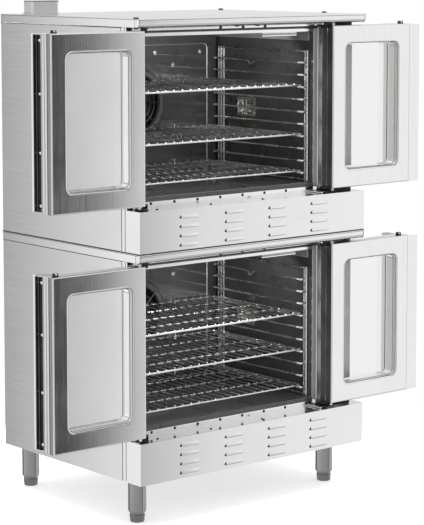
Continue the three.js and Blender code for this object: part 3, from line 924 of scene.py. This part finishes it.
def lamp(deck):
    """A square lamp in the right wall: frame, cross guard, glass and bulb."""
    node = f"{deck}_lamp"
    lo, hi = node_box(node)
    wall = node_box(f"{deck}_cavity_liner")[1].x - 2

    def ring(grow, x):
        return grown_loop((lo.y, hi.y, lo.z, hi.z), x, grow, 6, 4, "x")

    loops = [
        ring(0, wall - 0.3), ring(0, lo.x + 1), ring(-1.2, lo.x),
        ring(1 - LAMP_BORDER, lo.x), ring(-LAMP_BORDER, lo.x + 1), ring(-LAMP_BORDER, wall),
    ]
    rim = make_piece(f"{deck}_lamp_frame", loft_mesh(loops), polished, slot="chrome_wire")
    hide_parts(node)
    y, z = (lo.y + hi.y) / 2, (lo.z + hi.z) / 2
    x = lo.x + 1.2
    guard = gather([
        upright(x, y, lo.z + 6, hi.z - 6, 1.8),
        wire_mesh([(x, lo.y + 6, z), (x, hi.y - 6, z)], 1.8),
    ])
    make_piece(f"{deck}_lamp_guard", guard, chrome)
    pane = box_mesh((wall - 1, lo.y + 8, lo.z + 8), (wall + 1.5, hi.y - 8, hi.z - 8), 0.5)
    make_piece(f"{deck}_lamp_pane", pane, lamp_glass)
    rows = ((0.5, 2), (4, 12), (12, 19))
    bowl = loft_mesh([ring(-LAMP_BORDER - inset, wall + depth) for inset, depth in rows])
    deep = [e for e in bowl.edges if e.is_boundary and e.verts[0].co.x > wall + 15]
    bmesh.ops.holes_fill(bowl, edges=deep)
    make_piece(f"{deck}_lamp_reflector", bowl, polished, slot="chrome_wire")
    profile = [(0, -15), (6, -14), (9, -6), (8, 4), (5, 12), (0, 13)]
    bulb = lathe_mesh(profile, (wall + 9, y, z), Y, 16)
    make_piece(f"{deck}_lamp_bulb", bulb, nylon, slot="lamp_glass")


def cavity(deck):
    """Finishes for the CAD nodes inside the oven."""
    paint_node(f"{deck}_cavity_liner", enamel)
    paint_node(f"{deck}_fan_wheel", shadow_steel)
    soften_node(f"{deck}_fan_wheel", 0.4)
    paint_node(f"{deck}_fan_motor", cast_iron)
    paint_node(f"{deck}_burner", cast_iron)


# ---------------------------------------------------------------- front frame details
OPENING_MARGIN = 2
TRIM_SETBACK = 66
COVER_SEAM = {"lower": 1.2, "upper": 2.2}
EYEBROW_SLOTS = (0.535, 0.655)
EYEBROW_SCREWS = (0.44, 0.57, 0.70)
COMB_START = 520
COMB_END = 672
COMB_TEETH = 22
SILL_SCREWS = 8
LOWER_SILL_SCREWS = 3


def opening_trim(deck):
    """What edges the opening: bars at its head and sides, a sill plate and its screws."""
    liner_lo, liner_hi = node_box(f"{deck}_cavity_liner")
    panel_lo, panel_hi = node_box(f"{deck}_louvered_panel")
    x0, x1 = liner_lo.x + OPENING_MARGIN, liner_hi.x - OPENING_MARGIN
    z0, z1 = liner_lo.z + OPENING_MARGIN, liner_hi.z - OPENING_MARGIN
    face = panel_lo.y + TRIM_SETBACK

    def bar(low_x, high_x, low_z, high_z, proud, radius=1.0):
        return box_mesh((low_x, face - proud, low_z), (high_x, face - 0.1, high_z), radius)

    def add(part, mesh, material, slot=None):
        make_piece(f"{deck}_{part}", mesh, material, slot=slot)

    bars = gather([
        bar(x0 - 14, x1 + 1, z1, z1 + 11, 4, 1.6),
        bar(x0 + 8, x1 - 8, z1 + 18, z1 + 26.5, 6, 2.0),
        bar(x0, x1, z0 - 38, z0 - 14.5, 2),
        bar(x0 - 14, x0 - 0.5, z0 - 12, z1, 2.5),
    ])
    add("opening_bars", bars, polished)
    add("hinge_jamb", bar(x1 + 0.5, x1 + 20, z0 - 12, z1 + 11, 1.2), satin_steel)
    add("jamb_roll", upright(x1 + 22, face + 0.6, z0 - 12, z1 + 11, 3.2, 12), satin_steel)
    add("sill_band", bar(x0, x1, z0 - 14, z0 - 0.5, 3), enamel)
    # Painted shade: a dark grey band in the shaded recess between the head bar and the bar above it.
    add("head_shade_band", bar(x0, x1, z1 + 11.3, z1 + 17.7, 1.5), shadow_steel)
    slots = [bar(x0, x1, z1 + 27, z1 + 31.5, 1.5)]
    for share in EYEBROW_SLOTS:
        x = x0 + (x1 - x0) * share
        slots.append(bar(x - 9, x + 9, z1 + 23, z1 + 28, 6.8, 1.5))
    add("head_slots", gather(slots), black_steel)
    bolts = [
        screw_mesh((x0 + (x1 - x0) * share, face - 6, z1 + 22), -Y, 4.2)
        for share in EYEBROW_SCREWS
    ]
    add("head_screws", gather(bolts), shadow_steel, "steel_inner")
    screws = [
        screw_mesh((x0 + 38 + i * 96, face - 2, z0 - 21), -Y, 3.4) for i in range(SILL_SCREWS)
    ]
    screws += [
        screw_mesh((x0 + 36 + i * 222, face - 36, panel_hi.z), Z, 3.4)
        for i in range(LOWER_SILL_SCREWS)
    ]
    add("sill_screws", gather(screws), black_steel, "steel_inner")


def vent_comb(deck):
    """A short slotted strip at the cavity's mouth, under the head bar."""
    lo, hi = node_box(f"{deck}_cavity_liner")
    x0, x1 = lo.x + COMB_START, lo.x + COMB_END
    y = lo.y + 6
    top = hi.z - OPENING_MARGIN - 0.5
    strip = box_mesh((x0, y, top - 12), (x1, y + 1.5, top), 0.3)
    make_piece(f"{deck}_vent_comb", strip, polished)
    slots = []
    for i in range(COMB_TEETH):
        x = x0 + (i + 0.5) * (x1 - x0) / COMB_TEETH
        slots.append(box_mesh((x - 1.9, y - 0.4, top - 9), (x + 1.9, y, top - 2)))
    make_piece(f"{deck}_comb_slots", gather(slots), black_steel)


def wall_ledges(deck):
    """The ducts along the top of the cavity's two side walls, in a lighter grey that is painted light on
    the walls' lit upper edge.
    """
    lo, hi = node_box(f"{deck}_cavity_liner")
    for side, x, inward in (("left", lo.x + 3.2, 1), ("right", hi.x - 3.2, -1)):
        x0, x1 = sorted((x, x + inward * 8))
        ledge = box_mesh((x0, lo.y + 12, hi.z - 33), (x1, hi.y - 60, hi.z - 4), 1.5)
        # Painted light: the enamel ledges are drawn in a lighter grey steel, where light falls on the top
        # of the walls.
        make_piece(f"{deck}_{side}_wall_ledge", ledge, ledge_steel, slot="enamel")


def shadow_gaps(deck):
    """Dark joints where the cabinet's sheets meet, and thinner dark lines as painted dark reflections
    along their rounded folded edges.
    """
    lo, hi = node_box(f"{deck}_top_cover")
    panel_lo, _ = node_box(f"{deck}_louvered_panel")
    side_lo, side_hi = node_box(f"{deck}_left_side_panel")
    cover_gap = lo.z - 0.4
    gaps = []
    # Painted dark reflection: thin dark strips along the rounded folded edges of the covers and side
    # panels.
    fold_shades = [box_mesh((lo.x + 2, lo.y - 0.3, hi.z - 5), (hi.x - 2, lo.y + 1, hi.z - 3.6))]
    for x, out in ((lo.x, -1), (hi.x, 1)):
        x0, x1 = sorted((x - out, x + out * 0.4))
        gaps.append(box_mesh((x0, side_lo.y, cover_gap - COVER_SEAM[deck]), (x1, hi.y, cover_gap)))
        fold_shades.append(box_mesh((x0, lo.y + 10, hi.z - 3.6), (x1, hi.y, hi.z - 2.2)))
        for y in (side_lo.y + 1, side_lo.y - 17):
            fold_shades.append(box_mesh((x0, y, side_lo.z + 4), (x1, y + 2.2, side_hi.z - 1)))
        if deck == "upper":
            gaps.append(box_mesh((x0, panel_lo.y + 1, panel_lo.z), (x1, hi.y, panel_lo.z + 3)))
    if deck == "upper":
        low = (lo.x + 1, panel_lo.y - 0.4, panel_lo.z)
        gaps.append(box_mesh(low, (hi.x - 1, panel_lo.y + 1, panel_lo.z + 3)))
    make_piece(f"{deck}_shadow_gaps", gather(gaps), black_steel)
    make_piece(f"{deck}_fold_shade_lines", gather(fold_shades), shadow_steel)


def hinge_bearings(deck, side):
    """White bearings on a door's hinge corners."""
    profile = [
        (0, 0), (BEARING_RADIUS, 0), (BEARING_RADIUS, BEARING_HEIGHT - 1.5),
        (BEARING_RADIUS - 1.5, BEARING_HEIGHT), (0, BEARING_HEIGHT),
    ]
    d = door_facts(deck, side)
    x = d.edge + d.direction * BEARING_INSET
    y = d.front + BEARING_SETBACK
    bearings = [
        lathe_mesh(profile, (x, y, d.top + 0.1), Z, 18),
        lathe_mesh(profile, (x, y, d.bottom - 0.1), -Z, 18),
    ]
    make_piece(f"{deck}_{side}_hinge_bearings", gather(bearings), nylon, d.body)


PANEL_SHADE = 11


def hinge_covers(deck):
    """Black plates over the hinge brackets, and strips of painted shade over and under the control panel.
    """
    plates = []
    frame_lo, frame_hi = node_box(f"{deck}_front_frame")
    for side in SIDES:
        d = door_facts(deck, side)
        pin = d.edge - d.direction * 12
        for z in (frame_lo.z + 0.4, frame_hi.z - 5.4):
            plates.append(box_mesh((pin - 12, d.middle - 12, z), (pin + 12, d.middle + 30, z + 5), 1))
    panel_lo, panel_hi = node_box(f"{deck}_control_panel")
    # Painted shade: black strips at the control panel's top and bottom, where it lies in shadow.
    for z in (panel_lo.z, panel_hi.z - PANEL_SHADE):
        low = (panel_lo.x, panel_lo.y - 0.3, z)
        plates.append(box_mesh(low, (panel_hi.x, panel_lo.y + 0.8, z + PANEL_SHADE)))
    make_piece(f"{deck}_hinge_plates_and_panel_shade", gather(plates), black_steel)


# ---------------------------------------------------------------- legs and flue
def legs():
    """Four round legs, each a tube with a flange over a narrower levelling foot."""
    for end, side in (("front", "left"), ("front", "right"), ("rear", "left"), ("rear", "right")):
        node = f"{end}_{side}_leg"
        lo, hi = node_box(node)
        centre = ((lo.x + hi.x) / 2, (lo.y + hi.y) / 2, lo.z)
        radius = (hi.x - lo.x) / 2
        top = hi.z - lo.z
        tube = [
            (0, 31), (radius - 5, 31), (radius - 3, 32), (radius, 38), (radius, top - 8),
            (radius + 3, top - 5), (radius + 3, top), (0, top),
        ]
        foot = [
            (0, 0), (radius - 9, 0), (radius - 7, 1.5), (radius - 6.5, 4), (radius - 4.5, 24),
            (radius - 6.5, 26), (radius - 6.5, 32), (0, 32),
        ]
        piece = make_piece(f"{node}_tube", lathe_mesh(tube, centre, Z, 40), leg_steel)
        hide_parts(node)
        make_piece(f"{node}_foot", lathe_mesh(foot, centre, Z, 40), foot_steel)


def flue():
    """The flue collar on the top, with a line of painted shade under its rolled rim."""
    lo, hi = node_box("flue")

    def ring(grow, z):
        return grown_loop((lo.x, hi.x, lo.y, hi.y), z, grow, max(8 + grow, 1), 5, "z")

    loops = [
        ring(6, lo.z), ring(6, lo.z + 1.2), ring(0.6, lo.z + 1.6), ring(0, lo.z + 3),
        ring(0, hi.z - 4), ring(1.5, hi.z - 2.5), ring(1.5, hi.z - 0.8), ring(0, hi.z),
        ring(-3, hi.z), ring(-4, hi.z - 2), ring(-4, lo.z + 1),
    ]
    collar = make_piece("flue_collar", loft_mesh(loops), flue_steel)
    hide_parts("flue")
    # Painted shade: a dark wire ring under the rolled rim.
    make_piece("flue_rim_shade", ring_mesh(ring(1.2, hi.z - 3.4), 1.2), shadow_steel)


# ---------------------------------------------------------------- controls
FLUTES = 16
POINTS_PER_FLUTE = 6
DIAL_MARKS = 11
DIAL_START = 240
DIAL_STEP = 30


def fluted_loop(centre, y, radius, depth):
    """A closed loop round centre, with shallow hollows for the fingers."""
    points = []
    count = FLUTES * POINTS_PER_FLUTE
    for i in range(count):
        angle = math.tau * i / count
        r = radius - depth * (0.5 - 0.5 * math.cos(FLUTES * angle))
        points.append(
            Vector((centre.x + r * math.cos(angle), y, centre.z + r * math.sin(angle)))
        )
    return points


def control_knob(deck, which):
    """A fluted knob with a white pointer, over a dial of tick marks."""
    node = f"{deck}_{which}_knob"
    lo, hi = node_box(node)
    face = node_box(f"{deck}_control_panel")[1].y - 2
    centre = Vector(((lo.x + hi.x) / 2, face, (lo.z + hi.z) / 2))
    radius = (hi.x - lo.x) / 2
    base, tip = face - 1, face - 21
    rows = (
        (base, 0, 0), (base - 4, 0, 0), (base - 5, 3, 0.6), (tip + 2, 5, 1.4), (tip, 7, 1.0),
        (tip + 0.4, 12, 0),
    )
    grip = loft_mesh(
        [fluted_loop(centre, y, radius - taper, depth) for y, taper, depth in rows], close_ends=True
    )
    body = f"{deck}_{which}"
    piece = make_piece(f"{deck}_{which}_grip", grip, black_plastic, body)
    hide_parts(node)
    pointer = box_mesh(
        (centre.x - 1.2, tip - 0.6, centre.z + 5),
        (centre.x + 1.2, tip + 1, centre.z + radius - 7), 0.3,
    )
    make_piece(f"{deck}_{which}_pointer", pointer, dial_white, body)
    profile = [
        (radius + 2, -0.6), (radius + 12, -0.6), (radius + 12.6, 0.1), (radius + 1.4, 0.1),
        (radius + 2, -0.6),
    ]
    make_piece(f"{deck}_{which}_dial", lathe_mesh(profile, centre, Y, 48), black_plastic)
    marks = []
    for i in range(DIAL_MARKS):
        angle = math.radians(DIAL_START - DIAL_STEP * i)
        out = Vector((math.cos(angle), 0, math.sin(angle)))
        length = 6 if i % 5 == 0 else 3.5
        start = centre - Y * 0.7 + out * (radius + 4)
        marks.append(wire_mesh([start, start + out * length], 0.55, sides=6))
    make_piece(f"{deck}_{which}_marks", gather(marks), dial_white)


def switch_and_lights(deck):
    """The power switch's finish and bezel, and the two indicator lights under it."""
    node = f"{deck}_power_switch"
    lo, hi = node_box(node)
    face = node_box(f"{deck}_control_panel")[1].y - 2
    paint_node(node, black_plastic)
    soften_node(node, 0.8)
    rows = ((7, 0), (7, -1.4), (6, -2), (2.6, -2), (2.2, -1), (2.2, 4))
    sides = (lo.x, hi.x, lo.z, hi.z)
    bezel = loft_mesh([grown_loop(sides, face + depth, grow, 3, 4) for grow, depth in rows])
    make_piece(f"{deck}_switch_bezel", bezel, black_plastic)
    collar = [(5, 0), (8, 0), (8, 1.4), (7, 2), (5, 2), (5, 0)]
    dome = [(0, 0), (5, 0), (4.8, 2), (3.4, 3.6), (0, 4.4)]
    for name, dx, lens in (("power_light", -18, green), ("heat_light", 18, amber)):
        centre = ((lo.x + hi.x) / 2 + dx, face, (lo.z + hi.z) / 2 - 50)
        make_piece(f"{deck}_{name}_ring", lathe_mesh(collar, centre, -Y), chrome)
        make_piece(f"{deck}_{name}", lathe_mesh(dome, centre, -Y), lens)


# ---------------------------------------------------------------- back and top
REAR_COVER = (210, 190)
REAR_SCREWS = 5
REAR_SCREW_FIRST = 60
REAR_SCREW_PITCH = 145
REAR_VENTS = 7
REAR_VENT_PITCH = 30


def back_details(deck):
    """Motor access cover with louvres, rows of screws, and the power inlet's gland plate."""
    lo, hi = node_box(f"{deck}_body_pan")
    x, y, z = (lo.x + hi.x) / 2, hi.y, (lo.z + hi.z) / 2
    half_width, half_height = REAR_COVER
    sides = (x - half_width, x + half_width, z - half_height, z + half_height)
    rows = ((0, 0), (0, 3), (-1.5, 4.5))
    loops = [grown_loop(sides, y + depth, grow, 10, 5) for grow, depth in rows]
    make_piece(f"{deck}_rear_cover", loft_mesh(loops, close_ends=True), steel_along_x)
    screws = [
        screw_mesh((x + sx * (half_width - 12), y + 4.5, z + sz * (half_height - 12)), Y, 4)
        for sx in (-1, 0, 1)
        for sz in (-1, 1)
    ]
    screws += [
        screw_mesh((x + sx * 468, y, lo.z + REAR_SCREW_FIRST + REAR_SCREW_PITCH * i), Y, 4)
        for sx in (-1, 1)
        for i in range(REAR_SCREWS)
    ]
    make_piece(f"{deck}_rear_screws", gather(screws), screw_steel)
    vents = []
    for u in (x - 95, x + 95):
        for row in range(REAR_VENTS):
            v = z - 90 + row * REAR_VENT_PITCH
            slot = [
                grown_loop((u - 60, u + 60, v - 4, v + 4), y + depth, 0, 3.9, 4)
                for depth in (4.3, 5.2)
            ]
            vents.append(loft_mesh(slot, close_ends=True))
    make_piece(f"{deck}_rear_vents", gather(vents), black_steel)
    plate = box_mesh((hi.x - 150, y, lo.z + 40), (hi.x - 60, y + 4, lo.z + 110), 1.2)
    make_piece(f"{deck}_inlet_plate", plate, steel_along_x)
    profile = [(0, 0), (15, 0), (15, 2), (11, 3), (11, 5), (7, 5.5), (6, 2), (0, 2)]
    gland = lathe_mesh(profile, (hi.x - 105, y + 3.8, lo.z + 75), Y)
    make_piece(f"{deck}_inlet_gland", gland, black_plastic)


def top_details():
    """Dark lugs at the cover's edges, where a further deck would be pinned."""
    lo, hi = node_box("upper_top_cover")
    places = (
        (lo.x + 8, lo.y + 26), (hi.x - 8, lo.y + 196),
        (hi.x - 8, hi.y - 10),
    )
    profile = [(0, -1), (9, -1), (9, 2), (7, 4), (0, 4.6)]
    lugs = [lathe_mesh(profile, (x, y, hi.z), Z, 20) for x, y in places]
    make_piece("cover_lugs", gather(lugs), rubber)


# ---------------------------------------------------------------- render set-up
CAMERA_PLACE = (-4.3185, -5.3724, 1.8119)
CAMERA_YAW = 39.825
CAMERA_PITCH = 5.857
CAMERA_FOCUS = 2035.0
IMAGE_HEIGHT = 525
SENSOR = 36
CAMERA_SHIFT = -0.18


def add_camera():
    """The camera, whose focus is given in parts of the image's height."""
    data = bpy.data.cameras.new("camera")
    data.lens = CAMERA_FOCUS * SENSOR / IMAGE_HEIGHT
    data.sensor_width = SENSOR
    data.shift_y = CAMERA_SHIFT
    data.clip_end = 50
    camera = bpy.data.objects.new("camera", data)
    camera.location = CAMERA_PLACE
    camera.rotation_euler = (
        math.radians(90 - CAMERA_PITCH), 0, math.radians(-CAMERA_YAW)
    )
    bpy.context.scene.collection.objects.link(camera)
    bpy.context.scene.camera = camera


def add_area(name, place, aim, size, power, glossy=True):
    """A rectangular light at place that shines towards aim."""
    data = bpy.data.lights.new(name, "AREA")
    data.shape = "RECTANGLE"
    data.size, data.size_y = size
    data.energy = power
    light = bpy.data.objects.new(name, data)
    light.location = place
    light.rotation_mode = "QUATERNION"
    light.rotation_quaternion = (Vector(aim) - Vector(place)).to_track_quat("-Z", "Y")
    light.visible_glossy = glossy
    bpy.context.scene.collection.objects.link(light)


# Brightness of the studio's walls by compass angle: 0 is in front of the oven, 90 to its right
STUDIO_WALLS = (
    (-180, 0.55), (-166, 0.48), (-157, 0.16), (-148, 0.14), (-145.7, 0.44), (-144.5, 1.0),
    (-141, 1.45), (-137, 1.0), (-100, 0.95), (-60, 0.82), (-22, 0.75), (18, 0.66), (29, 0.58),
    (32.5, 0.03), (36, 0.02), (36.7, 0.14), (37.4, 0.60), (38, 1.05), (39.5, 1.05), (43, 1.2),
    (60, 1.0), (90, 0.92), (125, 0.92), (155, 0.75),
)
STUDIO_CEILING = 1.05
CEILING_EDGE = (0.28, 0.62)
STUDIO_GROUND = 0.66
GROUND_EDGE = (-0.27, -0.38)
BACKDROP = 1.0
OVERHEAD_POWER = 150
OVEN_LIGHT_POWER = 2.7


def add_world():
    """Soft white walls with a dark gap in front, as seen by the steel; the backdrop is white."""
    world = bpy.data.worlds.new("studio")
    bpy.context.scene.world = world
    world.use_nodes = True
    nodes = world.node_tree.nodes
    links = world.node_tree.links
    place = nodes.new("ShaderNodeTexCoord")
    split = nodes.new("ShaderNodeSeparateXYZ")
    links.new(place.outputs["Generated"], split.inputs["Vector"])
    ahead = add_math(nodes, links, "MULTIPLY", split.outputs["Y"], -1.0)
    angle = add_math(nodes, links, "ARCTAN2", split.outputs["X"], ahead)
    ramp = nodes.new("ShaderNodeValToRGB")
    elements = ramp.color_ramp.elements
    elements[0].position = 0.0
    elements[1].position = 1.0
    elements[1].color = elements[0].color = (STUDIO_WALLS[0][1],) * 3 + (1,)
    for compass, level in STUDIO_WALLS[1:]:
        stop = elements.new((compass + 180) / 360)
        stop.color = (level, level, level, 1)
    turn = add_range(nodes, links, angle, 0.0, 1.0, (-math.pi, math.pi))
    links.new(turn, ramp.inputs["Fac"])
    surround = ramp.outputs["Color"]
    for edge, level in ((GROUND_EDGE, STUDIO_GROUND), (CEILING_EDGE, STUDIO_CEILING)):
        height = add_range(nodes, links, split.outputs["Z"], 0.0, 1.0, edge)
        height.node.interpolation_type = "SMOOTHSTEP"
        surround = add_mix(nodes, links, height, surround, (level,) * 3)
    camera_ray = nodes.new("ShaderNodeLightPath").outputs["Is Camera Ray"]
    seen = add_mix(nodes, links, camera_ray, surround, (BACKDROP,) * 3)
    links.new(seen, nodes["Background"].inputs["Color"])


FLOOR_RADIUS = 1.15


def add_floor():
    """A plain pale disc that takes the oven's soft shadow."""
    floor = bpy.data.objects.new("floor", bpy.data.meshes.new("floor"))
    mesh = bmesh.new()
    bmesh.ops.create_circle(mesh, cap_ends=True, segments=96, radius=FLOOR_RADIUS)
    mesh.to_mesh(floor.data)
    mesh.free()
    material, nodes, links, shader = new_material("pale_floor")
    tone = add_noise(nodes, links, (3.0, 3.0, 3.0), 2.0)
    links.new(
        add_mix(nodes, links, tone, (0.93, 0.93, 0.93), (0.96, 0.96, 0.96)),
        shader.inputs["Base Color"],
    )
    shader.inputs["Roughness"].default_value = 0.8
    shader.inputs["Specular IOR Level"].default_value = 0.2
    shader.inputs["Emission Color"].default_value = (1, 1, 1, 1)
    shader.inputs["Emission Strength"].default_value = 0.45
    floor.data.materials.append(material)
    floor.location.z = -0.5 * MM
    bpy.context.scene.collection.objects.link(floor)
    floor.visible_glossy = False


def add_studio():
    """Walls, floor, one soft light overhead and one inside each cavity."""
    bpy.context.scene.view_settings.view_transform = "Standard"
    add_world()
    add_floor()
    add_area("overhead", (0, 0, 4.2), (0, 0, 0), (3.6, 3.6), OVERHEAD_POWER, glossy=False)
    for deck in DECKS:
        lo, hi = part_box(f"{deck}_cavity_liner")
        middle = (lo + hi) / 2
        place = (middle.x, lo.y + 0.10, hi.z - 0.012)
        add_area(f"{deck}_oven_light", place, (middle.x, hi.y - 0.1, lo.z), (0.6, 0.12), OVEN_LIGHT_POWER)


for deck in DECKS:
    cabinet(deck)
    louvres(deck)
    opening_trim(deck)
    vent_comb(deck)
    wall_ledges(deck)
    shadow_gaps(deck)
    hinge_covers(deck)
    for side in SIDES:
        hinge_bearings(deck, side)
    cavity(deck)
    fan_baffle(deck)
    lamp(deck)
    for side in SIDES:
        door_shells(deck, side)
        door_hinges(deck, side)
        door_edge_details(deck, side)
        roller_catch(deck, side)
        handle_details(deck, side)
        paint_node(f"{deck}_{side}_door_glass", door_glass)
        rack_guide(deck, side)
    door_lap_strip(deck)
    for place in ("top", "middle", "bottom"):
        wire_rack(deck, place)
    for which in ("thermostat", "timer"):
        control_knob(deck, which)
    switch_and_lights(deck)
    back_details(deck)
legs()
flue()
top_details()

add_camera()
add_studio()
